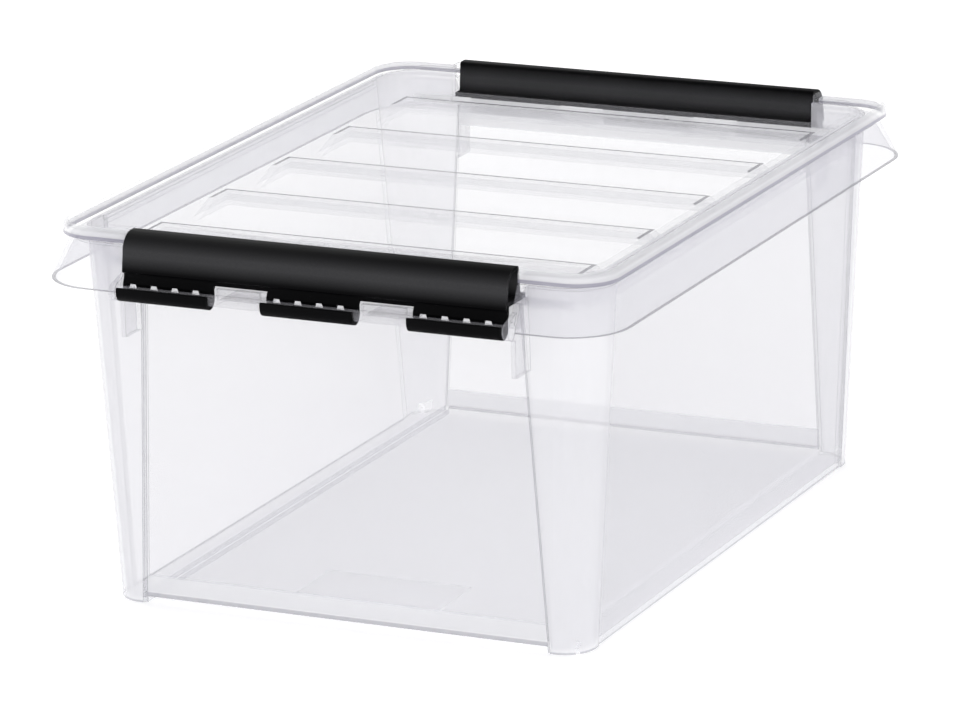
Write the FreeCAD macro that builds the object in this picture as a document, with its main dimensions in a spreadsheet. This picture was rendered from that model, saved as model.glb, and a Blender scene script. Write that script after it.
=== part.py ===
import FreeCAD, Part
import math
import os
import Sketcher

doc = FreeCAD.newDocument("StorageBin")

# Driving dimensions, millimetres. X is the bin's width, Y its length and Z its height.
SIZES = {
    "wall": 2.0,
    # tub box, outer faces at the floor and at the rim
    "base_width": 250.0,
    "base_length": 348.0,
    "base_radius": 15.0,
    "rim_width": 272.0,
    "rim_length": 361.0,
    "rim_radius": 21.0,
    "rim_height": 186.2,
    # recessed panels between the corner columns
    "side_recess": 1.0,
    "end_recess": 1.6,
    "step_run": 1.6,
    "side_panel_base": 154.0,
    "side_panel_rim": 150.0,
    "end_panel_base": 106.5,
    "end_panel_rim": 96.8,
    # floor
    "floor_lift": 3.0,
    "floor_half": 106.0,
    "pad_half": 38.5,
    "pad_near": 110.0,
    "pad_far": 149.0,
    "pad_rise": 0.4,
    # flared skirt round the rim
    "skirt_low": 162.3,
    "skirt_width": 300.0,
    "skirt_length": 396.0,
    "skirt_radius": 29.0,
    "shoulder_height": 183.0,
    "shoulder_width": 284.0,
    "shoulder_length": 373.0,
    "shoulder_radius": 23.0,
    # hinge bars at both ends, each along X
    "axis_out": 200.4,
    "axis_height": 164.0,
    "bar_radius": 2.75,
    "ear_radius": 4.5,
    "cheek_inner": 100.6,
    "cheek_thick": 2.4,
    "ear_thick": 3.2,
    "gusset_out": 195.0,
    "gusset_low": 139.5,
    "notch_height": 171.0,
    "web_width": 23.0,
    "web_thick": 2.0,
    "web_top": 169.6,
    # lid
    "lid_width": 289.0,
    "lid_length": 377.0,
    "lid_radius": 20.5,
    "lip_low": 184.0,
    "bead_low": 186.5,
    "bead_top": 190.2,
    "bead_inner_width": 266.6,
    "bead_inner_length": 358.0,
    "bead_inner_radius": 19.5,
    "bead_round": 2.6,
    "tray_width": 262.0,
    "tray_length": 352.0,
    "tray_radius": 18.0,
    "tray_top": 170.6,
    "rib_top": 179.0,
    "rib_length": 230.0,
    "rib_width": 19.5,
    "rib_end_slope": 5.0,
    "rib_side_slope": 9.8,
    "rib_pitch": 69.0,
    "bump_half": 33.0,
    "bump_near": 2.0,
    "bump_far": 8.6,
    "bump_rise": 2.0,
    "lid_notch_half": 101.6,
    "lid_notch_out": 175.4,
    # handle, drawn for the rear end
    "handle_half": 99.8,
    "plate_thick": 2.0,
    "plate_out": 198.2,
    "plate_low": 172.3,
    "plate_bend": 196.8,
    "recess_in": 194.4,
    "recess_out": 196.2,
    "recess_low": 170.0,
    "bend_height": 181.6,
    "handle_top": 191.0,
    "top_out": 187.4,
    "tip_out": 182.8,
    "inner_low_out": 181.4,
    "ledge_low": 173.9,
    "ledge_high": 176.1,
    "ledge_out": 176.0,
    "hook_clearance": 0.08,
    "hook_thick": 1.77,
    "hook_width": 47.8,
    "hook_pitch": 75.9,
    "hook_lip": 167.1,
    "window_width": 5.0,
    "window_height": 2.4,
    "window_low": 164.8,
    "window_pitch": 11.1,
    "window_shift": 2.2,
}

sheet = doc.addObject("Spreadsheet::Sheet", "Sizes")
for row, (alias, size) in enumerate(SIZES.items(), start=1):
    sheet.set("A%d" % row, alias)
    sheet.set("B%d" % row, str(size))
    sheet.setAlias("B%d" % row, alias)
doc.recompute()


def named(expression):
    """Turn a plain formula of size names into one that reads the sheet."""
    words = expression.replace("(", " ( ").replace(")", " ) ").split()
    return " ".join("Sizes." + word if word in SIZES else word for word in words)


def value(expression):
    return float(sheet.evalExpression(named(expression)))


def new_body(name):
    body = doc.addObject("PartDesign::Body", name)
    body.Label = name
    return body


def new_sketch(body, name, role, offset="0"):
    sketch = body.newObject("Sketcher::SketchObject", name)
    plane = next(item for item in body.Origin.OriginFeatures if item.Role == role)
    sketch.AttachmentSupport = [(plane, "")]
    sketch.MapMode = "FlatFace"
    sketch.setExpression("AttachmentOffset.Base.z", named(offset))
    return sketch


def bind(sketch, kind, items, expression):
    index = sketch.addConstraint(Sketcher.Constraint(kind, *items, value(expression)))
    sketch.setExpression("Constraints[%d]" % index, named(expression))


def draw_outline(sketch, corners, arc_at):
    """Draw a closed outline, the same in all four quarters.

    corners are the first quarter's points, anticlockwise, as pairs of formulas. The edge that
    starts at point arc_at is a quarter circle.
    """
    count = len(corners)
    first = [(value(x), value(y)) for x, y in corners]
    turns = [(1, 1, False), (-1, 1, True), (-1, -1, False), (1, -1, True)]
    points = []
    arcs = {}
    for quarter, (flip_x, flip_y, backwards) in enumerate(turns):
        run = [(flip_x * x, flip_y * y) for x, y in first]
        start = count - 2 - arc_at if backwards else arc_at
        centre = (flip_x * first[arc_at + 1][0], flip_y * first[arc_at][1])
        arcs[quarter * count + start] = (centre, quarter)
        points += run[::-1] if backwards else run
    radius = first[arc_at][0] - first[arc_at + 1][0]
    total = len(points)
    base = sketch.GeometryCount
    for index in range(total):
        if index in arcs:
            (centre_x, centre_y), quarter = arcs[index]
            circle = Part.Circle(FreeCAD.Vector(centre_x, centre_y, 0), FreeCAD.Vector(0, 0, 1), radius)
            from_angle = quarter * math.pi / 2
            sketch.addGeometry(Part.ArcOfCircle(circle, from_angle, from_angle + math.pi / 2))
        else:
            start = FreeCAD.Vector(*points[index], 0)
            end = FreeCAD.Vector(*points[(index + 1) % total], 0)
            sketch.addGeometry(Part.LineSegment(start, end))
    for index in range(total):
        following = base + (index + 1) % total
        sketch.addConstraint(Sketcher.Constraint("Coincident", base + index, 2, following, 1))
    for index, (x, y) in enumerate(corners):
        bind(sketch, "DistanceX", (-1, 1, base + index, 1), x)
        bind(sketch, "DistanceY", (-1, 1, base + index, 1), y)
        twin_left = base + 2 * count - 1 - index
        twin_below = base + 4 * count - 1 - index
        twin_across = base + 2 * count + index
        sketch.addConstraint(Sketcher.Constraint("Symmetric", base + index, 1, twin_left, 1, -2))
        sketch.addConstraint(Sketcher.Constraint("Symmetric", base + index, 1, twin_below, 1, -1))
        sketch.addConstraint(Sketcher.Constraint("Symmetric", base + index, 1, twin_across, 1, -1, 1))
    arc_radius = "%s - ( %s )" % (corners[arc_at][0], corners[arc_at + 1][0])
    for index in arcs:
        bind(sketch, "Radius", (base + index,), arc_radius)


def draw_path(sketch, points):
    """Draw a closed path. Each point is two formulas and, before an arc, its radius and turn.

    The turn is +1 for an arc that runs anticlockwise and -1 for one that runs clockwise.
    """
    total = len(points)
    base = sketch.GeometryCount
    places = [FreeCAD.Vector(value(point[0]), value(point[1]), 0) for point in points]
    backwards = []
    for index, point in enumerate(points):
        start = places[index]
        end = places[(index + 1) % total]
        backwards.append(False)
        if len(point) == 2:
            sketch.addGeometry(Part.LineSegment(start, end))
            continue
        radius = value(point[2])
        turn = point[3]
        chord = end - start
        reach = math.sqrt(max(radius ** 2 - (chord.Length / 2) ** 2, 0.0))
        side = FreeCAD.Vector(-chord.y, chord.x, 0).normalize() * turn
        centre = (start + end) / 2 + side * reach
        first, last = (start, end) if turn > 0 else (end, start)
        backwards[-1] = turn < 0
        from_angle = math.atan2(first.y - centre.y, first.x - centre.x)
        to_angle = math.atan2(last.y - centre.y, last.x - centre.x)
        if to_angle <= from_angle:
            to_angle += 2 * math.pi
        circle = Part.Circle(centre, FreeCAD.Vector(0, 0, 1), radius)
        sketch.addGeometry(Part.ArcOfCircle(circle, from_angle, to_angle))
    for index, point in enumerate(points):
        following = (index + 1) % total
        here_end = 1 if backwards[index] else 2
        next_start = 2 if backwards[following] else 1
        sketch.addConstraint(
            Sketcher.Constraint("Coincident", base + index, here_end, base + following, next_start)
        )
    for index, point in enumerate(points):
        here_start = 2 if backwards[index] else 1
        bind(sketch, "DistanceX", (-1, 1, base + index, here_start), point[0])
        bind(sketch, "DistanceY", (-1, 1, base + index, here_start), point[1])
        if len(point) > 2:
            bind(sketch, "Radius", (base + index,), point[2])


def box_path(x_low, x_high, y_low, y_high):
    return [(x_low, y_low), (x_high, y_low), (x_high, y_high), (x_low, y_high)]


def rounded(width, length, radius, grow="0"):
    """Give a rounded rectangle's two points in the first quarter."""
    half_x = "%s / 2 + %s" % (width, grow)
    half_y = "%s / 2 + %s" % (length, grow)
    return [(half_x, "%s / 2 - %s" % (length, radius)), ("%s / 2 - %s" % (width, radius), half_y)]


def stepped(width, length, radius, side_panel, end_panel, inset="0"):
    """Give the tub's outline: corner columns with recessed panels between them."""
    half_x = "%s / 2 - %s" % (width, inset)
    half_y = "%s / 2 - %s" % (length, inset)
    return [
        ("%s - side_recess" % half_x, side_panel),
        (half_x, "%s + step_run" % side_panel),
        (half_x, "%s / 2 - %s" % (length, radius)),
        ("%s / 2 - %s" % (width, radius), half_y),
        ("%s + step_run" % end_panel, half_y),
        (end_panel, "%s - end_recess" % half_y),
    ]


def feature(body, kind, name, sketches, **settings):
    made = body.newObject("PartDesign::" + kind, name)
    made.Profile = sketches[0]
    if len(sketches) > 1:
        made.Sections = sketches[1:]
        made.Ruled = True
    for key, setting in settings.items():
        if isinstance(setting, str) and key.startswith("Length"):
            made.setExpression(key, named(setting))
        else:
            setattr(made, key, setting)
    body.Tip = made
    doc.recompute()
    return made


def checked_cut(body, kind, name, sketches, **settings):
    """Make a cut, and stop if it took nothing away."""
    before = body.Shape.Volume
    made = feature(body, kind, name, sketches, **settings)
    if body.Shape.Volume > before - 1:
        raise RuntimeError("%s cuts nothing" % name)
    return made


def mirror(body, name, originals, role):
    plane = next(item for item in body.Origin.OriginFeatures if item.Role == role)
    made = body.newObject("PartDesign::Mirrored", name)
    made.Originals = originals
    made.MirrorPlane = (plane, [""])
    body.Tip = made
    doc.recompute()
    return made


def at_corners(body, name, original):
    """Repeat one feature on both sides and at both ends."""
    made = body.newObject("PartDesign::MultiTransform", name)
    made.Originals = [original]
    steps = []
    for role in ("YZ_Plane", "XZ_Plane"):
        step = body.newObject("PartDesign::Mirrored", name + role[:2])
        plane = next(item for item in body.Origin.OriginFeatures if item.Role == role)
        step.MirrorPlane = (plane, [""])
        steps.append(step)
    made.Transformations = steps
    body.Tip = made
    doc.recompute()
    return made


def pattern(body, name, originals, role, length, count):
    axis = next(item for item in body.Origin.OriginFeatures if item.Role == role)
    made = body.newObject("PartDesign::LinearPattern", name)
    made.Originals = originals
    made.Direction = (axis, [""])
    made.Occurrences = count
    made.setExpression("Length", named(length))
    body.Tip = made
    doc.recompute()
    return made


def outline_sketch(body, name, height, corners, arc_at=0):
    sketch = new_sketch(body, name, "XY_Plane", height)
    draw_outline(sketch, corners, arc_at)
    return sketch


def path_sketch(body, name, role, offset, points):
    sketch = new_sketch(body, name, role, offset)
    draw_path(sketch, points)
    return sketch


def round_sketch(body, name, role, offset, across, up, radius):
    sketch = new_sketch(body, name, role, offset)
    centre = FreeCAD.Vector(value(across), value(up), 0)
    sketch.addGeometry(Part.Circle(centre, FreeCAD.Vector(0, 0, 1), value(radius)))
    bind(sketch, "DistanceX", (-1, 1, 0, 3), across)
    bind(sketch, "DistanceY", (-1, 1, 0, 3), up)
    bind(sketch, "Radius", (0,), radius)
    return sketch


# how far out the cheeks and webs start, inside the wall, before the cavity is cut
WALL_ROOT = "rim_length / 2 - 3 * wall"


def make_tub():
    """Clear box with corner columns, a flared skirt round its rim and a hinge bar at each end."""
    body = new_body("tub")

    # skirt: a flared ring closed at its top, hollow from below
    skirt = [
        outline_sketch(body, "SkirtLow", "skirt_low",
                       rounded("skirt_width", "skirt_length", "skirt_radius")),
        outline_sketch(body, "SkirtHigh", "shoulder_height",
                       rounded("shoulder_width", "shoulder_length", "shoulder_radius")),
    ]
    feature(body, "AdditiveLoft", "Skirt", skirt)
    hollow = [
        outline_sketch(body, "HollowLow", "skirt_low",
                       rounded("skirt_width", "skirt_length", "skirt_radius", "-1 * wall")),
        outline_sketch(body, "HollowHigh", "shoulder_height - wall",
                       rounded("shoulder_width", "shoulder_length", "shoulder_radius", "-1 * wall")),
    ]
    checked_cut(body, "SubtractiveLoft", "SkirtHollow", hollow)

    # the skirt is open behind the handle at each end
    gap = path_sketch(body, "HandleGap", "XY_Plane", "rim_height + wall", box_path(
        "-1 * cheek_inner", "cheek_inner", "rim_length / 2 - 8 * wall", "skirt_length / 2 + wall"))
    cut = checked_cut(body, "Pocket", "HandleGapCut", [gap], Type="Length", Length="30 + wall")
    mirror(body, "HandleGaps", [cut], "XZ_Plane")

    # box
    outside = [
        outline_sketch(body, "BoxBase", "0", stepped(
            "base_width", "base_length", "base_radius", "side_panel_base", "end_panel_base"), 2),
        outline_sketch(body, "BoxRim", "rim_height", stepped(
            "rim_width", "rim_length", "rim_radius", "side_panel_rim", "end_panel_rim"), 2),
    ]
    feature(body, "AdditiveLoft", "Box", outside)

    # cheek plates beside the handle, each an ear round the bar above and a gusset below
    cheek = [
        (WALL_ROOT, "gusset_low"),
        ("gusset_out - 1.5", "gusset_low", "1.5", 1),
        ("gusset_out", "gusset_low + 1.5"),
        ("gusset_out", "axis_height - 1.35 * ear_radius"),
        ("axis_out", "axis_height - ear_radius", "ear_radius", 1),
        ("axis_out + ear_radius", "axis_height", "ear_radius", 1),
        ("axis_out", "axis_height + ear_radius"),
        ("gusset_out - 1", "notch_height"),
        (WALL_ROOT, "notch_height"),
    ]
    plate = path_sketch(body, "Cheek", "YZ_Plane", "cheek_inner", cheek)
    cheek_pad = feature(body, "Pad", "CheekPad", [plate], Type="Length", Length="cheek_thick")
    at_corners(body, "Cheeks", cheek_pad)
    closing = [
        (WALL_ROOT, "notch_height - 1"),
        ("gusset_out - wall", "notch_height - 1"),
        ("shoulder_length / 2", "shoulder_height"),
        (WALL_ROOT, "shoulder_height"),
    ]
    wall = path_sketch(body, "Closing", "YZ_Plane", "cheek_inner", closing)
    closing_pad = feature(body, "Pad", "ClosingPad", [wall], Type="Length", Length="cheek_thick")
    at_corners(body, "Closings", closing_pad)
    ear = round_sketch(body, "Ear", "YZ_Plane", "cheek_inner", "axis_out", "axis_height", "ear_radius")
    ear_pad = feature(body, "Pad", "EarPad", [ear], Type="Length", Length="ear_thick")
    at_corners(body, "Ears", ear_pad)

    # hinge bar between the cheeks
    bar = round_sketch(body, "Bar", "YZ_Plane", "-1 * cheek_inner - cheek_thick / 2",
                       "axis_out", "axis_height", "bar_radius")
    bar_pad = feature(body, "Pad", "BarPad", [bar], Type="Length", Length="2 * cheek_inner + cheek_thick")
    mirror(body, "Bars", [bar_pad], "XZ_Plane")

    # two webs carry the bar between the hooks: a shelf from the wall and an upright behind the bar
    shelf = "axis_height - bar_radius + 0.2 * web_thick"
    web = [
        (WALL_ROOT, shelf),
        ("axis_out", shelf),
        ("axis_out", "axis_height + 0.5 * web_thick"),
        ("axis_out - 0.6 * web_thick", "axis_height + web_thick"),
        ("axis_out - 0.6 * web_thick", "web_top"),
        ("axis_out - 1.6 * web_thick", "web_top"),
        ("axis_out - 1.6 * web_thick", shelf + " + web_thick"),
        (WALL_ROOT, shelf + " + web_thick"),
    ]
    web_sketch = path_sketch(body, "Web", "YZ_Plane", "hook_pitch / 2 - web_width / 2", web)
    web_pad = feature(body, "Pad", "WebPad", [web_sketch], Type="Length", Length="web_width")
    at_corners(body, "Webs", web_pad)

    # cavity, open at the top
    inside = [
        outline_sketch(body, "CavityBase", "wall", stepped(
            "base_width", "base_length", "base_radius", "side_panel_base", "end_panel_base", "wall"), 2),
        outline_sketch(body, "CavityRim", "rim_height + wall", stepped(
            "rim_width", "rim_length", "rim_radius", "side_panel_rim", "end_panel_rim", "wall"), 2),
    ]
    checked_cut(body, "SubtractiveLoft", "Cavity", inside)

    # raised floor between two long runners
    floor = path_sketch(body, "Floor", "XY_Plane", "0", box_path(
        "-1 * floor_half - wall", "floor_half + wall", "end_recess + 1 - base_length / 2",
        "base_length / 2 - end_recess - 1"))
    feature(body, "Pad", "FloorPad", [floor], Type="Length", Length="floor_lift + wall")
    under = path_sketch(body, "Under", "XY_Plane", "0", box_path(
        "-1 * floor_half", "floor_half", "-1 * base_length", "base_length"))
    checked_cut(body, "Pocket", "UnderCut", [under], Type="Length", Length="floor_lift", Reversed=True)

    # shallow pad on the floor near the front end
    pad = path_sketch(body, "FloorMark", "XY_Plane", "floor_lift + wall / 2", box_path(
        "-1 * pad_half", "pad_half", "-1 * pad_far", "-1 * pad_near"))
    feature(body, "Pad", "FloorMarkPad", [pad], Type="Length", Length="wall / 2 + pad_rise")

    # the end walls are lower behind the handles
    low = path_sketch(body, "LowWall", "XY_Plane", "rim_height + wall", box_path(
        "-1 * cheek_inner", "cheek_inner", "-1 * axis_out", "axis_out"))
    checked_cut(body, "Pocket", "LowWallCut", [low], Type="Length",
                Length="rim_height + wall - notch_height")
    return body


def make_lid():
    """Clear lid: a rolled bead on the tub's rim, a sunk tray and five raised cross ribs."""
    body = new_body("lid")
    bead = outline_sketch(body, "Bead", "bead_low", rounded("lid_width", "lid_length", "lid_radius"))
    bead_pad = feature(body, "Pad", "BeadPad", [bead], Type="Length", Length="bead_top - bead_low")
    edges = [
        "Edge%d" % (index + 1) for index, edge in enumerate(body.Shape.Edges)
        if all(abs(vertex.Point.z - value("bead_top")) < 0.01 for vertex in edge.Vertexes)
    ]
    rounding = body.newObject("PartDesign::Fillet", "BeadRound")
    rounding.Base = (bead_pad, edges)
    rounding.setExpression("Radius", named("bead_round"))
    body.Tip = rounding
    doc.recompute()

    tray = [
        outline_sketch(body, "TrayLow", "tray_top - wall",
                       rounded("tray_width", "tray_length", "tray_radius")),
        outline_sketch(body, "TrayHigh", "bead_low", rounded(
            "bead_inner_width", "bead_inner_length", "bead_inner_radius", "-1 * wall / 2")),
    ]
    feature(body, "AdditiveLoft", "Tray", tray)
    sunk = [
        outline_sketch(body, "SunkLow", "tray_top",
                       rounded("tray_width", "tray_length", "tray_radius", "-1 * wall")),
        outline_sketch(body, "SunkHigh", "bead_top + wall",
                       rounded("bead_inner_width", "bead_inner_length", "bead_inner_radius")),
    ]
    checked_cut(body, "SubtractiveLoft", "Sunk", sunk)

    groove = new_sketch(body, "Groove", "XY_Plane", "bead_low")
    draw_outline(groove, rounded("lid_width", "lid_length", "lid_radius", "-1 * wall"), 0)
    draw_outline(groove, rounded("bead_inner_width", "bead_inner_length", "bead_inner_radius", "wall"), 0)
    checked_cut(body, "Pocket", "GrooveCut", [groove], Type="Length",
                Length="bead_top - bead_low - wall", Reversed=True)

    # a lip that hangs from the bead outside the tub's rim
    lip = new_sketch(body, "Lip", "XY_Plane", "lip_low")
    draw_outline(lip, rounded("lid_width", "lid_length", "lid_radius"), 0)
    draw_outline(lip, rounded("lid_width", "lid_length", "lid_radius", "-1 * wall"), 0)
    feature(body, "Pad", "LipPad", [lip], Type="Length", Length="bead_low + wall / 4 - lip_low")

    # ribs, hollow from below, the first at the front
    def rib_sketch(name, height, half_x, half_y):
        return path_sketch(body, name, "XY_Plane", height, box_path(
            "-1 * ( %s )" % half_x, half_x, "-2 * rib_pitch - ( %s )" % half_y,
            "-2 * rib_pitch + %s" % half_y))

    rib = feature(body, "AdditiveLoft", "Rib", [
        rib_sketch("RibLow", "tray_top - wall / 2", "rib_length / 2 + rib_end_slope",
                   "rib_width / 2 + rib_side_slope"),
        rib_sketch("RibHigh", "rib_top", "rib_length / 2", "rib_width / 2"),
    ])
    ribs = pattern(body, "Ribs", [rib], "Y_Axis", "4 * rib_pitch", 5)
    under = checked_cut(body, "SubtractiveLoft", "RibUnder", [
        rib_sketch("UnderLow", "tray_top - 2 * wall", "rib_length / 2 + rib_end_slope - wall / 2",
                   "rib_width / 2 + rib_side_slope - wall / 2"),
        rib_sketch("UnderHigh", "rib_top - wall", "rib_length / 2 - wall", "rib_width / 2 - wall / 2"),
    ])
    pattern(body, "RibUnders", [under], "Y_Axis", "4 * rib_pitch", 5)

    # a low stop on the first and last rib, which the next bin's raised floor fits over
    stop = path_sketch(body, "Stop", "XY_Plane", "rib_top - wall / 2", box_path(
        "-1 * bump_half", "bump_half", "2 * rib_pitch + bump_near", "2 * rib_pitch + bump_far"))
    stop_pad = feature(body, "Pad", "StopPad", [stop], Type="Length", Length="wall / 2 + bump_rise")
    mirror(body, "Stops", [stop_pad], "XZ_Plane")

    # notches that the closed handles stand in
    notch = path_sketch(body, "Notch", "XY_Plane", "bead_top + wall", box_path(
        "-1 * lid_notch_half", "lid_notch_half", "lid_notch_out", "lid_length / 2 + wall"))
    cut = checked_cut(body, "Pocket", "NotchCut", [notch], Type="Length", Length="30 + wall")
    mirror(body, "NotchCuts", [cut], "XZ_Plane")

    # walls that close the bead beside the notches
    side = [
        ("lid_notch_out - wall", "tray_top - wall / 2"),
        ("lid_notch_out + wall / 2", "tray_top - wall / 2"),
        ("bead_inner_length / 2 - wall / 2", "bead_low"),
        ("lid_length / 2", "bead_low"),
        ("lid_length / 2", "bead_top - bead_round", "bead_round", 1),
        ("lid_length / 2 - bead_round", "bead_top"),
        ("bead_inner_length / 2", "bead_top"),
    ]
    side_sketch = path_sketch(body, "NotchSide", "YZ_Plane", "lid_notch_half", side)
    side_pad = feature(body, "Pad", "NotchSidePad", [side_sketch], Type="Length", Length="wall")
    at_corners(body, "NotchSides", side_pad)
    return body


def make_handle(name, turned):
    """Black clip handle: a hollow grip over a ledge, with three hooks round the hinge bar."""
    body = new_body(name)

    # grip: outer plate, rounded top, inner wall, ledge and the set-back strip below the plate
    outside = [
        ("ledge_out", "ledge_low"),
        ("recess_in", "ledge_low"),
        ("recess_in", "recess_low"),
        ("recess_out", "recess_low"),
        ("recess_out", "plate_low"),
        ("plate_out - 0.4 * plate_thick", "plate_low"),
        ("plate_out", "plate_low + 0.4 * plate_thick"),
        ("plate_bend", "bend_height", "9.2", 1),
        ("top_out", "handle_top"),
        ("tip_out + 1.6", "handle_top", "1.8", 1),
        ("tip_out", "handle_top - 2"),
        ("inner_low_out", "ledge_high"),
        ("ledge_out", "ledge_high"),
    ]
    section = path_sketch(body, "Grip", "YZ_Plane", "-1 * handle_half", outside)
    feature(body, "Pad", "GripPad", [section], Type="Length", Length="2 * handle_half")
    inside = [
        ("inner_low_out + plate_thick", "ledge_high"),
        ("plate_out - plate_thick", "ledge_high"),
        ("plate_bend - plate_thick", "bend_height", "7.2", 1),
        ("top_out", "handle_top - plate_thick"),
        ("tip_out + plate_thick", "handle_top - plate_thick"),
    ]
    hollow = path_sketch(body, "GripHollow", "YZ_Plane", "handle_half + 1", inside)
    checked_cut(body, "Pocket", "GripHollowCut", [hollow], Type="Length", Length="2 * handle_half + 2")

    # hook: a J round the bar
    bore = "bar_radius + hook_clearance"
    outer = "bar_radius + hook_clearance + hook_thick"
    hook = [
        ("recess_in", "recess_low"),
        ("axis_out - ( %s )" % outer, "recess_low - hook_thick"),
        ("axis_out - ( %s )" % outer, "axis_height", outer, 1),
        ("axis_out", "axis_height - ( %s )" % outer, outer, 1),
        ("axis_out + %s" % outer, "axis_height"),
        ("axis_out + %s" % outer, "hook_lip - hook_thick / 2", "hook_thick * 0.6", 1),
        ("axis_out + %s" % bore, "hook_lip - hook_thick / 2"),
        ("axis_out + %s" % bore, "axis_height", bore, -1),
        ("axis_out", "axis_height - ( %s )" % bore, bore, -1),
        ("axis_out - ( %s )" % bore, "axis_height"),
        ("axis_out - ( %s )" % bore, "recess_low - 1.5 * hook_thick"),
        ("recess_out", "recess_low"),
        ("recess_out", "plate_low"),
        ("recess_in", "plate_low"),
    ]
    hook_sketch = path_sketch(body, "Hook", "YZ_Plane", "-1 * hook_pitch - hook_width / 2", hook)
    hook_pad = feature(body, "Pad", "HookPad", [hook_sketch], Type="Length", Length="hook_width")
    pattern(body, "Hooks", [hook_pad], "X_Axis", "2 * hook_pitch", 3)

    # four small windows through the back of each hook, just above the bar
    windows = new_sketch(body, "Windows", "XZ_Plane", "-1 * axis_out + 8")
    for hook_index in (-1, 0, 1):
        for place in (-1.5, -0.5, 0.5, 1.5):
            centre = "hook_pitch * ( %d ) + window_pitch * ( %s ) + window_shift" % (hook_index, place)
            draw_path(windows, [
                ("%s - window_width / 2" % centre, "window_low"),
                ("%s + window_width / 2" % centre, "window_low"),
                ("%s + window_width / 2 - 0.8" % centre, "window_low + window_height"),
                ("%s - window_width / 2 + 0.8" % centre, "window_low + window_height"),
            ])
    checked_cut(body, "Pocket", "WindowsCut", [windows], Type="Length", Length="6")
    if turned:
        body.Placement = FreeCAD.Placement(
            FreeCAD.Vector(0, 0, 0), FreeCAD.Rotation(FreeCAD.Vector(0, 0, 1), 180))
    return body


pieces = [make_tub(), make_lid(), make_handle("rear_handle", False), make_handle("front_handle", True)]
doc.recompute()

for item in doc.Objects:
    if "Invalid" in item.State or "Error" in item.State:
        raise RuntimeError("%s is %s" % (item.Name, item.State))
for piece in pieces:
    shape = piece.Shape
    if shape.isNull() or not shape.isValid():
        raise RuntimeError("%s has no valid shape" % piece.Label)
    if len(shape.Solids) != 1:
        raise RuntimeError("%s is %d solids" % (piece.Label, len(shape.Solids)))

os.makedirs("parts", exist_ok=True)
for piece in pieces:
    piece.Shape.exportStep("parts/%s.step" % piece.Label)
    box = piece.Shape.BoundBox
    print("%-14s volume %9.0f mm3  x %.1f..%.1f  y %.1f..%.1f  z %.1f..%.1f" % (
        piece.Label, piece.Shape.Volume, box.XMin, box.XMax, box.YMin, box.YMax, box.ZMin, box.ZMax))
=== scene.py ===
import bpy
import math
from mathutils import Matrix, Vector


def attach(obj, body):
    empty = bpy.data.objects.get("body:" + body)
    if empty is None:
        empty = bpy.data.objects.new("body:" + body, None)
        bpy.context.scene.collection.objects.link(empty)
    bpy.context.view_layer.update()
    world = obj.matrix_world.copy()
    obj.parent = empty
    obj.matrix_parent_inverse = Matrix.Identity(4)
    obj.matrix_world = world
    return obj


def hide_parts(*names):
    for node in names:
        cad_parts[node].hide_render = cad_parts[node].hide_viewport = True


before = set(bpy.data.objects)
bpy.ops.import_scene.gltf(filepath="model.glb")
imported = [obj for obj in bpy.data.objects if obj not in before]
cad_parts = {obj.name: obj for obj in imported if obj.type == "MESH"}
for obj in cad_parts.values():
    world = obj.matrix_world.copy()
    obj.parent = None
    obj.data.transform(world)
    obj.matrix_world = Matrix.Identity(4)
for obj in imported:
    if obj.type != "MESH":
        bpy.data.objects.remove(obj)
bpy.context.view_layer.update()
print("frame loaded")

mm = 0.001


def takeUp(piece):
    # make this the only selected piece
    bpy.ops.object.select_all(action="DESELECT")
    piece.select_set(True)
    bpy.context.view_layer.objects.active = piece


cameraLook = {
    "place": (1.24203, -2.66904, 0.92414),
    "turn": 25.02,  # degrees about the upright, to the left
    "tilt": 15.87,  # degrees downwards
    "roll": -1.22,
    "lens": 227.87,
    "farthest": 50,
}


def addCamera():
    turn = math.radians(cameraLook["turn"])
    tilt = math.radians(cameraLook["tilt"])
    roll = math.radians(cameraLook["roll"])
    ahead = Vector((-math.sin(turn) * math.cos(tilt),
                    math.cos(turn) * math.cos(tilt),
                    -math.sin(tilt)))
    right = Vector((math.cos(turn), math.sin(turn), 0))
    above = right.cross(ahead)
    tiltedRight = right * math.cos(roll) + above * math.sin(roll)
    tiltedUp = above * math.cos(roll) - right * math.sin(roll)
    bpy.ops.object.camera_add(location=cameraLook["place"])
    camera = bpy.context.object
    facing = Matrix((tiltedRight, tiltedUp, -ahead)).transposed()
    camera.rotation_euler = facing.to_euler()
    camera.data.lens = cameraLook["lens"]
    camera.data.clip_end = cameraLook["farthest"]
    bpy.context.scene.camera = camera
    print("camera placed")


studio = {
    "skyLow": 1.0,  # brightness near the horizon
    "skyHigh": 0.45,  # brightness overhead
    "skyFade": (0.15, 0.75),  # the heights between which it dims, overhead being 1
    "lamps": (
        {"place": (-1.6, 1.2, 2.6), "power": 26, "size": 2.0},
        {"place": (2.2, -2.4, 1.6), "power": 8, "size": 1.6},
    ),
    "lampAim": (0, 0, 0.08),
    "floorSize": 14,
    "floorLevel": -0.0002,  # just below the feet
    "floorColour": (0.93, 0.93, 0.935, 1),
    "floorRough": 0.8,
    "floorGlow": 0.42,
    "clearLayers": 48,  # how many see-through faces a ray may cross
}


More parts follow.
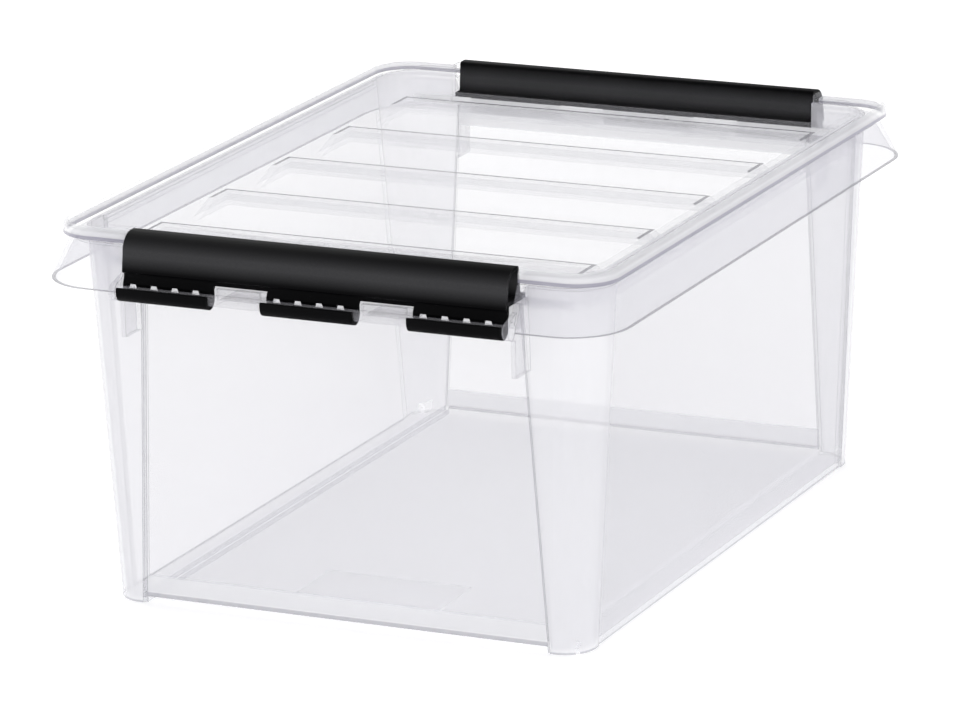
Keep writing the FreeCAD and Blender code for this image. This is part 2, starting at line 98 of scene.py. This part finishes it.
def addSky():
    world = bpy.data.worlds.new("studioSky")
    bpy.context.scene.world = world
    world.use_nodes = True
    nodes = world.node_tree.nodes
    links = world.node_tree.links
    way = nodes.new("ShaderNodeTexCoord")
    split = nodes.new("ShaderNodeSeparateXYZ")
    fade = nodes.new("ShaderNodeMapRange")
    fade.inputs["From Min"].default_value, fade.inputs["From Max"].default_value = studio["skyFade"]
    fade.inputs["To Min"].default_value = studio["skyLow"]
    fade.inputs["To Max"].default_value = studio["skyHigh"]
    links.new(way.outputs["Generated"], split.inputs[0])
    links.new(split.outputs["Z"], fade.inputs["Value"])
    links.new(fade.outputs["Result"], nodes["Background"].inputs["Strength"])
    nodes["Background"].inputs["Color"].default_value = (1, 1, 1, 1)


def addAreaLight(place, power, size):
    bpy.ops.object.light_add(type="AREA", location=place)
    lamp = bpy.context.object
    lamp.data.energy = power
    lamp.data.size = size
    aim = Vector(studio["lampAim"]) - Vector(place)
    lamp.rotation_euler = aim.to_track_quat("-Z", "Y").to_euler()


def addFloor():
    bpy.ops.mesh.primitive_plane_add(size=studio["floorSize"], location=(0, 0, studio["floorLevel"]))
    floor = bpy.context.object
    floor.name = "studioFloor"
    paper = bpy.data.materials.new("floorPaper")
    paper.use_nodes = True
    coat = paper.node_tree.nodes["Principled BSDF"]
    coat.inputs["Base Color"].default_value = studio["floorColour"]
    coat.inputs["Roughness"].default_value = studio["floorRough"]
    coat.inputs["Emission Color"].default_value = (1, 1, 1, 1)
    coat.inputs["Emission Strength"].default_value = studio["floorGlow"]
    floor.data.materials.append(paper)


def addStudio():
    addSky()
    for lamp in studio["lamps"]:
        addAreaLight(**lamp)
    addFloor()
    scene = bpy.context.scene
    scene.view_settings.view_transform = "Standard"
    scene.cycles.transparent_max_bounces = studio["clearLayers"]
    print("studio made")


mixSockets = {"FLOAT": (2, 3, 0), "RGBA": (6, 7, 2)}  # where a mix keeps A, B and its result


def addMix(nodes, kind):
    mix = nodes.new("ShaderNodeMix")
    mix.data_type = kind
    under, over, result = mixSockets[kind]
    return mix.inputs["Factor"], mix.inputs[under], mix.inputs[over], mix.outputs[result]


def addMath(nodes, links, operation, *values):
    # one step of arithmetic on sockets and plain numbers
    step = nodes.new("ShaderNodeMath")
    step.operation = operation
    for socket, value in zip(step.inputs, values):
        if isinstance(value, (int, float)):
            socket.default_value = value
        else:
            links.new(value, socket)
    return step.outputs[0]


def startGroup(name, inputs, outputs):
    # an empty node group with its sockets, each given as a name and a kind
    group = bpy.data.node_groups.new(name, "ShaderNodeTree")
    for way, sockets in (("INPUT", inputs), ("OUTPUT", outputs)):
        for socketName, kind in sockets.items():
            group.interface.new_socket(name=socketName, in_out=way, socket_type="NodeSocket" + kind)
    nodes = group.nodes
    return group, nodes, group.links, nodes.new("NodeGroupInput"), nodes.new("NodeGroupOutput")


def buildVeilGroup():
    # turns how far a wall faces away into how much it veils and in which tone, the darker edge tone
    # being painted shade where a face is seen edge-on
    group, nodes, links, given, result = startGroup(
        "plasticVeil",
        {"Facing": "Float", "Flat Veil": "Float", "Edge Veil": "Float", "Falloff": "Float",
         "Flat Tone": "Color", "Edge Tone": "Color"},
        {"Tone": "Color", "Veil": "Float"})
    falloff = addMath(nodes, links, "POWER", given.outputs["Facing"], given.outputs["Falloff"])
    for name, kind in (("Veil", "FLOAT"), ("Tone", "RGBA")):
        factor, flat, edge, mixed = addMix(nodes, kind)
        links.new(falloff, factor)
        links.new(given.outputs["Flat " + name], flat)
        links.new(given.outputs["Edge " + name], edge)
        links.new(mixed, result.inputs[name])
    return group


def buildFlowGroup():
    # the slow waviness of a moulded sheet and a fine grain, both as heights
    group, nodes, links, given, result = startGroup(
        "mouldedFlow",
        {"Vector": "Vector", "Scale": "Float", "Detail Scale": "Float"},
        {"Wave": "Float", "Speck": "Float"})
    for source, sink, detail in (("Scale", "Wave", 2.0), ("Detail Scale", "Speck", 4.0)):
        noise = nodes.new("ShaderNodeTexNoise")
        noise.inputs["Detail"].default_value = detail
        links.new(given.outputs["Vector"], noise.inputs["Vector"])
        links.new(given.outputs[source], noise.inputs["Scale"])
        links.new(noise.outputs["Fac"], result.inputs[sink])
    return group


def buildBandGroup():
    # one inside a level band of a piece, optionally only near its ends, fading out softly
    group, nodes, links, given, result = startGroup(
        "levelBand",
        {"Vector": "Vector", "Middle": "Float", "Half": "Float", "Soft": "Float", "End": "Float"},
        {"Mask": "Float"})
    split = nodes.new("ShaderNodeSeparateXYZ")
    links.new(given.outputs["Vector"], split.inputs[0])

    def calculate(operation, *values):
        return addMath(nodes, links, operation, *values)

    away = calculate("ABSOLUTE", calculate("SUBTRACT", split.outputs["Z"], given.outputs["Middle"]))
    fade = nodes.new("ShaderNodeMapRange")
    links.new(away, fade.inputs["Value"])
    links.new(given.outputs["Half"], fade.inputs["From Min"])
    links.new(calculate("ADD", given.outputs["Half"], given.outputs["Soft"]), fade.inputs["From Max"])
    fade.inputs["To Min"].default_value = 1
    fade.inputs["To Max"].default_value = 0
    beyond = calculate("GREATER_THAN", calculate("ABSOLUTE", split.outputs["Y"]), given.outputs["End"])
    links.new(calculate("MULTIPLY", fade.outputs["Result"], beyond), result.inputs["Mask"])
    return group


veilGroup = buildVeilGroup()
flowGroup = buildFlowGroup()
bandGroup = buildBandGroup()
print("node groups made")


def startMaterial(name):
    material = bpy.data.materials.new(name)
    material.use_nodes = True
    nodes = material.node_tree.nodes
    links = material.node_tree.links
    place = nodes.new("ShaderNodeTexCoord")
    flow = nodes.new("ShaderNodeGroup")
    flow.node_tree = flowGroup
    links.new(place.outputs["Object"], flow.inputs["Vector"])
    return material, nodes, links, flow, nodes["Principled BSDF"]


def addBand(nodes, links, band):
    # the mask of one level band, in the piece's own coordinates, its sizes in mm
    place = nodes.new("ShaderNodeTexCoord")
    level = nodes.new("ShaderNodeGroup")
    level.node_tree = bandGroup
    links.new(place.outputs["Object"], level.inputs["Vector"])
    for name in ("Middle", "Half", "Soft", "End"):
        level.inputs[name].default_value = band[name.lower()] * mm
    return level.outputs["Mask"]


def addBump(nodes, links, height, normal, strength, depth):
    bump = nodes.new("ShaderNodeBump")
    bump.inputs["Strength"].default_value = strength
    bump.inputs["Distance"].default_value = depth
    links.new(height, bump.inputs["Height"])
    links.new(bump.outputs["Normal"], normal)


def layOver(nodes, links, kind, mask, under, over):
    # the socket's value, with a fixed value over it where the mask is one
    factor, first, second, mixed = addMix(nodes, kind)
    links.new(mask, factor)
    links.new(under, first)
    second.default_value = over
    return mixed


clearPlasticLook = {
    "facingBlend": 0.5,
    "rippleStrength": 0.25,
    "rippleDepth": 0.0006,
    "bending": 1.49,  # index of refraction
}


def clearPlastic(name, look):
    material, nodes, links, flow, plastic = startMaterial(name)
    flow.inputs["Scale"].default_value = look["waveScale"]
    facing = nodes.new("ShaderNodeLayerWeight")
    facing.inputs["Blend"].default_value = clearPlasticLook["facingBlend"]
    veil = nodes.new("ShaderNodeGroup")
    veil.node_tree = veilGroup
    links.new(facing.outputs["Facing"], veil.inputs["Facing"])
    veil.inputs["Flat Veil"].default_value = look["flatVeil"]
    veil.inputs["Edge Veil"].default_value = look["edgeVeil"]
    veil.inputs["Falloff"].default_value = look["falloff"]
    veil.inputs["Flat Tone"].default_value = look["flatTone"]
    veil.inputs["Edge Tone"].default_value = look["edgeTone"]
    # a face seen from inside the plastic veils less than the one in front of it
    side = nodes.new("ShaderNodeNewGeometry")
    behind = nodes.new("ShaderNodeMapRange")
    behind.inputs["To Min"].default_value = 1
    behind.inputs["To Max"].default_value = look["behind"]
    links.new(side.outputs["Backfacing"], behind.inputs["Value"])
    tone = veil.outputs["Tone"]
    strength = veil.outputs["Veil"]
    for band in look.get("bands", ()):
        mask = addBand(nodes, links, band)
        tone = layOver(nodes, links, "RGBA", mask, tone, band["tone"])
        strength = layOver(nodes, links, "FLOAT", mask, strength, band["veil"])
    thinned = addMath(nodes, links, "MULTIPLY", strength, behind.outputs["Result"])
    links.new(tone, plastic.inputs["Base Color"])
    links.new(thinned, plastic.inputs["Alpha"])
    addBump(nodes, links, flow.outputs["Wave"], plastic.inputs["Normal"],
            clearPlasticLook["rippleStrength"], clearPlasticLook["rippleDepth"])
    plastic.inputs["Roughness"].default_value = look["roughness"]
    plastic.inputs["IOR"].default_value = clearPlasticLook["bending"]
    return material


def blackPlastic(look):
    material, nodes, links, flow, plastic = startMaterial("blackHandlePlastic")
    flow.inputs["Scale"].default_value = look["waveScale"]
    flow.inputs["Detail Scale"].default_value = look["grainScale"]
    # painted highlight: the plate's middle is drawn lighter as a soft sheen, broken up by the grain
    paintedSheen = addMath(nodes, links, "MULTIPLY_ADD",
                    flow.outputs["Speck"], look["paintedSheenGrain"], look["paintedSheenBase"])
    amount = addMath(nodes, links, "MULTIPLY", addBand(nodes, links, look["paintedSheenBand"]), paintedSheen)
    factor, dark, light, tone = addMix(nodes, "RGBA")
    dark.default_value = look["dark"]
    light.default_value = look["paintedSheen"]
    links.new(amount, factor)
    links.new(tone, plastic.inputs["Base Color"])
    sheen = nodes.new("ShaderNodeMapRange")
    sheen.inputs["To Min"].default_value, sheen.inputs["To Max"].default_value = look["rough"]
    links.new(flow.outputs["Wave"], sheen.inputs["Value"])
    links.new(sheen.outputs["Result"], plastic.inputs["Roughness"])
    addBump(nodes, links, flow.outputs["Speck"], plastic.inputs["Normal"],
            look["grainStrength"], look["grainDepth"])
    plastic.inputs["Specular IOR Level"].default_value = look["specular"]
    return material


solidCare = {
    "mergeWithin": 0.000005,
    "flatWithin": 0.6,  # degrees
}


def pieceFromNode(nodeName, pieceName):
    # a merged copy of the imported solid, ready for its edges to be rounded
    piece = bpy.data.objects.new(pieceName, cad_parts[nodeName].data.copy())
    bpy.context.collection.objects.link(piece)
    piece.data.materials.clear()
    takeUp(piece)
    bpy.ops.mesh.customdata_custom_splitnormals_clear()
    bpy.ops.object.mode_set(mode="EDIT")
    bpy.ops.mesh.select_all(action="SELECT")
    bpy.ops.mesh.remove_doubles(threshold=solidCare["mergeWithin"])
    bpy.ops.mesh.dissolve_limited(angle_limit=math.radians(solidCare["flatWithin"]))
    bpy.ops.object.mode_set(mode="OBJECT")
    return piece


def slotOf(piece, finish):
    # the number of a finish among the piece's materials, or -1
    return piece.data.materials.find(finish)


def roundEdges(piece, rounding, edgeShade=""):
    # the narrow new faces take the edge finish, painted dark edge lines, if there is one
    takeUp(piece)
    sharp = math.radians(rounding["sharpAngle"])
    bevel = piece.modifiers.new("softEdges", "BEVEL")
    bevel.width = rounding["width"]
    bevel.segments = rounding["steps"]
    bevel.limit_method = "ANGLE"
    bevel.angle_limit = sharp
    bevel.use_clamp_overlap = True
    bevel.material = slotOf(piece, edgeShade)
    bpy.ops.object.modifier_apply(modifier=bevel.name)
    bpy.ops.object.shade_smooth_by_angle(angle=sharp)


def selectFaces(piece, chosen):
    # leaves the piece in edit mode with only the chosen faces selected
    takeUp(piece)
    bpy.ops.object.mode_set(mode="EDIT")
    bpy.ops.mesh.select_mode(type="FACE")
    bpy.ops.mesh.select_all(action="DESELECT")
    bpy.ops.object.mode_set(mode="OBJECT")
    for face in piece.data.polygons:
        face.select = chosen(face)
    bpy.ops.object.mode_set(mode="EDIT")


def paintFaces(piece, finish, chosen):
    # give the chosen faces one of the piece's own materials
    selectFaces(piece, chosen)
    piece.active_material_index = slotOf(piece, finish)
    bpy.ops.object.material_slot_assign()
    bpy.ops.object.mode_set(mode="OBJECT")


uprightUnder = 0.5  # an upright face's normal rises or falls less than this
levelOver = 0.9  # and a level face's more than this
closeBy = 0.1 * mm


def isNear(face, level, within=closeBy):
    return abs(face.center.z - level) < within


def finishPiece(piece, body, slotName, *nodes):
    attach(piece, body)
    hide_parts(*nodes)
    print(piece.name, "made:", len(piece.data.polygons), "faces")


# painted shade: the grey line along a wall's foot, where it stands on the floor
paintedFootShade = {"middle": 0.5, "half": 0.5, "soft": 0.4, "end": 0,
            "tone": (0.40, 0.40, 0.45, 1), "veil": 0.50}

tubValues = {
    "rounding": {"width": 0.5 * mm, "steps": 1, "sharpAngle": 28},
    "height": 186.2 * mm,
    "boxHalf": (136.5 * mm, 181 * mm),
    "columnAtEnd": (106.5 * mm, 96.8 * mm),  # where the corner columns start, at the base and the rim
    "columnAtSide": (154 * mm, 150 * mm),
    "stepReach": (-0.4 * mm, 2.2 * mm),  # how far a step lies past the start of its column
    "stepSideFrom": 118 * mm,
    "stepEndFrom": 168 * mm,
    "endFrom": 165 * mm,
    "skirtLow": 162.3 * mm,
    "skirtFootWithin": 0.5 * mm,
    "skirtFrom": 103.5 * mm,
    "floorTop": 6 * mm,
    "floorHalf": 105.5 * mm,
    "innerHalf": 121.5 * mm,
    "innerEnd": 170.6 * mm,
    "padTop": 5.4 * mm,
    "padHalf": 39 * mm,
    # veil is how much a finish hides, tone its colour, both where a face is seen flat or edge-on; a
    # darker edge tone is painted shade on faces seen edge-on
    "finishes": {
        "tubWall": {
            "flatVeil": 0.17, "edgeVeil": 0.55, "falloff": 4.0, "behind": 0.8,
            "roughness": 0.18, "waveScale": 14,
            "flatTone": (0.69, 0.68, 0.735, 1), "edgeTone": (0.46, 0.46, 0.52, 1),
            "bands": (paintedFootShade,),
        },
        "tubFloor": {
            "flatVeil": 0.12, "edgeVeil": 0.26, "falloff": 1.6, "behind": 1.0,
            "roughness": 0.3, "waveScale": 14,
            "flatTone": (0.60, 0.60, 0.65, 1), "edgeTone": (0.56, 0.56, 0.61, 1),
        },
        # painted shade: dark lines on the rounded edges and the skirt's foot, standing in for light
        # bent at the plastic's edges
        "tubEdgeShade": {
            "flatVeil": 0.62, "edgeVeil": 0.80, "falloff": 1.2, "behind": 0.9,
            "roughness": 0.2, "waveScale": 14,
            "flatTone": (0.18, 0.18, 0.21, 1), "edgeTone": (0.17, 0.17, 0.20, 1),
        },
        "tubColumn": {
            "flatVeil": 0.38, "edgeVeil": 0.70, "falloff": 5.0, "behind": 0.6,
            "roughness": 0.18, "waveScale": 30,
            "flatTone": (0.86, 0.855, 0.895, 1), "edgeTone": (0.42, 0.42, 0.47, 1),
            "bands": (paintedFootShade,),
        },
        "tubPad": {
            "flatVeil": 0.34, "edgeVeil": 0.44, "falloff": 1.6, "behind": 1.0,
            "roughness": 0.3, "waveScale": 14,
            "flatTone": (0.86, 0.86, 0.89, 1), "edgeTone": (0.84, 0.84, 0.87, 1),
        },
        "tubRunner": {
            "flatVeil": 0.16, "edgeVeil": 0.30, "falloff": 1.6, "behind": 0.8,
            "roughness": 0.3, "waveScale": 14,
            "flatTone": (0.72, 0.72, 0.77, 1), "edgeTone": (0.68, 0.68, 0.73, 1),
        },
        "tubEnd": {
            "flatVeil": 0.15, "edgeVeil": 0.55, "falloff": 4.0, "behind": 0.8,
            "roughness": 0.18, "waveScale": 14,
            "flatTone": (0.71, 0.70, 0.755, 1), "edgeTone": (0.46, 0.46, 0.52, 1),
            "bands": (
                # painted light: the top of each end wall drawn whiter and more opaque, like light
                # scattered in the thick rim
                {"middle": 165.0, "half": 6.0, "soft": 0.5, "end": 0,
                 "tone": (0.93, 0.93, 0.95, 1), "veil": 0.60},
                # a lighter, more opaque band low on each end wall
                {"middle": 9.5, "half": 4.0, "soft": 0.8, "end": 168,
                 "tone": (0.88, 0.88, 0.91, 1), "veil": 0.45},
                # painted shade: a dark line along the raised foot of each end wall
                {"middle": 4.0, "half": 0.9, "soft": 0.6, "end": 168,
                 "tone": (0.38, 0.38, 0.42, 1), "veil": 0.65},
            ),
        },
        "tubSkirt": {
            "flatVeil": 0.16, "edgeVeil": 0.50, "falloff": 4.5, "behind": 0.7,
            "roughness": 0.18, "waveScale": 14,
            "flatTone": (0.68, 0.67, 0.76, 1), "edgeTone": (0.50, 0.50, 0.56, 1),
        },
        # painted shade: the steps between the panels and the columns drawn as darker lines
        "tubStepShade": {
            "flatVeil": 0.34, "edgeVeil": 0.60, "falloff": 2.0, "behind": 0.4,
            "roughness": 0.2, "waveScale": 14,
            "flatTone": (0.42, 0.42, 0.47, 1), "edgeTone": (0.36, 0.36, 0.40, 1),
        },
    },
}


def makeTub():
    tub = pieceFromNode("tub", "tubShell")
    for name, look in tubValues["finishes"].items():
        tub.data.materials.append(clearPlastic(name, look))
    boxAcross, boxAlong = tubValues["boxHalf"]
    floorTop = tubValues["floorTop"]
    skirtLow = tubValues["skirtLow"]

    def pastPanels(face):
        # how far a face lies beyond the edge of the end panel and of the side panel
        up = min(max(face.center.z / tubValues["height"], 0), 1)
        end = tubValues["columnAtEnd"]
        side = tubValues["columnAtSide"]
        return (abs(face.center.x) - end[0] - (end[1] - end[0]) * up,
                abs(face.center.y) - side[0] - (side[1] - side[0]) * up)

    def isInBox(face):
        return abs(face.center.x) < boxAcross and abs(face.center.y) < boxAlong

    def isWall(face):
        return isInBox(face) and abs(face.normal.z) < uprightUnder

    def isColumn(face):
        return isWall(face) and min(pastPanels(face)) > 0

    def isStep(face):
        pastEnd, pastSide = pastPanels(face)
        low, high = tubValues["stepReach"]
        atEnd = abs(face.center.y) > tubValues["stepEndFrom"] and low < pastEnd < high
        atSide = abs(face.center.x) > tubValues["stepSideFrom"] and low < pastSide < high
        return isWall(face) and (atEnd or atSide)

    def isEnd(face):
        return isWall(face) and abs(face.center.y) > tubValues["endFrom"] and pastPanels(face)[0] < 0

    def isSkirt(face):
        outside = abs(face.center.x) > boxAcross or abs(face.center.y) > boxAlong
        return outside and abs(face.center.x) > tubValues["skirtFrom"] and face.center.z > skirtLow

    def isSkirtFoot(face):
        return face.normal.z < -levelOver and isNear(face, skirtLow, tubValues["skirtFootWithin"])

    def isLevel(face):
        return abs(face.normal.z) > levelOver and face.center.z < floorTop

    def isPad(face):
        return (face.normal.z > levelOver and isNear(face, tubValues["padTop"])
                and abs(face.center.x) < tubValues["padHalf"])

    def isRunner(face):
        return (face.center.z < floorTop and abs(face.center.y) < tubValues["innerEnd"]
                and tubValues["floorHalf"] < abs(face.center.x) < tubValues["innerHalf"])

    def isInnerFoot(face):
        # the small faces where the walls meet the floor inside
        return (face.material_index == slotOf(tub, "tubEdgeShade") and face.center.z < floorTop
                and abs(face.center.x) < tubValues["innerHalf"]
                and abs(face.center.y) < tubValues["innerEnd"])

    # a later finish covers an earlier one
    paintFaces(tub, "tubSkirt", isSkirt)
    paintFaces(tub, "tubEnd", isEnd)
    paintFaces(tub, "tubColumn", isColumn)
    paintFaces(tub, "tubStepShade", isStep)
    paintFaces(tub, "tubFloor", isLevel)
    paintFaces(tub, "tubEdgeShade", isSkirtFoot)
    roundEdges(tub, tubValues["rounding"], "tubEdgeShade")
    paintFaces(tub, "tubFloor", isInnerFoot)
    paintFaces(tub, "tubRunner", isRunner)
    paintFaces(tub, "tubPad", isPad)
    finishPiece(tub, "tub", "clear_tub", "tub")


lidValues = {
    "rounding": {"width": 0.4 * mm, "steps": 1, "sharpAngle": 28},
    "ribTop": 179 * mm,
    "ribTopFlat": 0.99,  # a rib's top is flatter than this
    "ribTopArea": 0.0005,  # and larger, in square metres
    "ribBorder": 1.9 * mm,
    "ribBorderArea": 0.0007,  # the largest face of a border
    "ribFarSide": 5 * mm,  # from a rib's middle line
    "ribEnd": 113 * mm,
    "crestWithin": 0.6 * mm,
    "beadLow": 184 * mm,
    "half": (144.5 * mm, 188.5 * mm),
    "beadDeep": 9.5 * mm,
    "finishes": {
        "lidSheet": {
            "flatVeil": 0.09, "edgeVeil": 0.16, "falloff": 2.4, "behind": 0.8,
            "roughness": 0.15, "waveScale": 18,
            "flatTone": (0.82, 0.82, 0.86, 1), "edgeTone": (0.78, 0.78, 0.83, 1),
            "bands": (
                # painted light: the tray's ends drawn whiter and more opaque, like light scattered in
                # the thick plastic there
                {"middle": 171.8, "half": 2.0, "soft": 0.2, "end": 173.5,
                 "tone": (0.93, 0.93, 0.95, 1), "veil": 0.70},
            ),
        },
        # painted shade: dark lines along the ribs' far sides and ends and along the bead's edges
        "lidEdgeShade": {
            "flatVeil": 0.70, "edgeVeil": 0.80, "falloff": 1.2, "behind": 0.7,
            "roughness": 0.2, "waveScale": 18,
            "flatTone": (0.24, 0.24, 0.28, 1), "edgeTone": (0.22, 0.22, 0.25, 1),
        },
        # painted highlight: the bead drawn whiter and more opaque than the sheet
        "lidBeadHighlight": {
            "flatVeil": 0.50, "edgeVeil": 0.40, "falloff": 1.4, "behind": 0.3,
            "roughness": 0.15, "waveScale": 18,
            "flatTone": (0.90, 0.90, 0.93, 1), "edgeTone": (0.84, 0.84, 0.88, 1),
            "bands": (
                # painted shadow: a dark band low on the bead, where its lip overhangs the shoulder
                {"middle": 184.8, "half": 0.9, "soft": 0.5, "end": 0,
                 "tone": (0.34, 0.33, 0.41, 1), "veil": 0.75},
            ),
        },
    },
}


def makeLid():
    lid = pieceFromNode("lid", "lidShell")
    for name, look in lidValues["finishes"].items():
        lid.data.materials.append(clearPlastic(name, look))
    ribTop = lidValues["ribTop"]

    def isRibTop(face):
        return face.normal.z > lidValues["ribTopFlat"] and isNear(face, ribTop)

    def isWholeRibTop(face):
        return isRibTop(face) and face.area > lidValues["ribTopArea"]

    def isBead(face):
        halfAcross, halfAlong = lidValues["half"]
        inside = min(halfAcross - abs(face.center.x), halfAlong - abs(face.center.y))
        return face.center.z > lidValues["beadLow"] - closeBy and inside < lidValues["beadDeep"]

    # a border round each rib's flat top, with painted shade along its far side and its ends
    ribMiddles = [face.center.y for face in lid.data.polygons if isWholeRibTop(face)]
    selectFaces(lid, isWholeRibTop)
    bpy.ops.mesh.inset(thickness=lidValues["ribBorder"], depth=0)
    bpy.ops.object.mode_set(mode="OBJECT")

    def isFarOrEnd(face):
        middle = min(ribMiddles, key=lambda rib: abs(rib - face.center.y))
        return (face.center.y > middle + lidValues["ribFarSide"]
                or abs(face.center.x) > lidValues["ribEnd"])

    def isRibBorder(face):
        return isRibTop(face) and face.area <= lidValues["ribBorderArea"] and isFarOrEnd(face)

    def isPlainEdge(face):
        # edges inside the tray that aren't a rib's far crest or an end of it
        if face.material_index != slotOf(lid, "lidEdgeShade") or isBead(face):
            return False
        return not (isNear(face, ribTop, lidValues["crestWithin"]) and isFarOrEnd(face))

    paintFaces(lid, "lidEdgeShade", isRibBorder)
    paintFaces(lid, "lidBeadHighlight", isBead)
    roundEdges(lid, lidValues["rounding"], "lidEdgeShade")
    paintFaces(lid, "lidSheet", isPlainEdge)
    finishPiece(lid, "lid", "clear_lid", "lid")


handleValues = {
    "rounding": {"width": 0.35 * mm, "steps": 2, "sharpAngle": 28},
    "finish": {
        "dark": (0.0025, 0.0025, 0.003, 1),
        # dark is the handles' own black; the sheen colour and its band are a painted highlight across
        # the plate
        "paintedSheen": (0.052, 0.052, 0.055, 1),
        "paintedSheenBand": {"middle": 182.0, "half": 1.5, "soft": 6.5, "end": 0},
        "paintedSheenGrain": 0.30,
        "paintedSheenBase": 0.80,
        "rough": (0.42, 0.56),
        "waveScale": 40,
        "grainScale": 1400,
        "grainStrength": 0.6,
        "grainDepth": 0.00008,
        "specular": 0.04,
    },
}


def makeHandle(nodeName, black):
    handle = pieceFromNode(nodeName, nodeName + "Grip")
    roundEdges(handle, handleValues["rounding"])
    handle.data.materials.append(black)
    finishPiece(handle, nodeName, "black_handle", nodeName)


addCamera()
addStudio()
makeTub()
makeLid()
black = blackPlastic(handleValues["finish"])
makeHandle("front_handle", black)
makeHandle("rear_handle", black)

bpy.context.view_layer.update()
print("all pieces made")
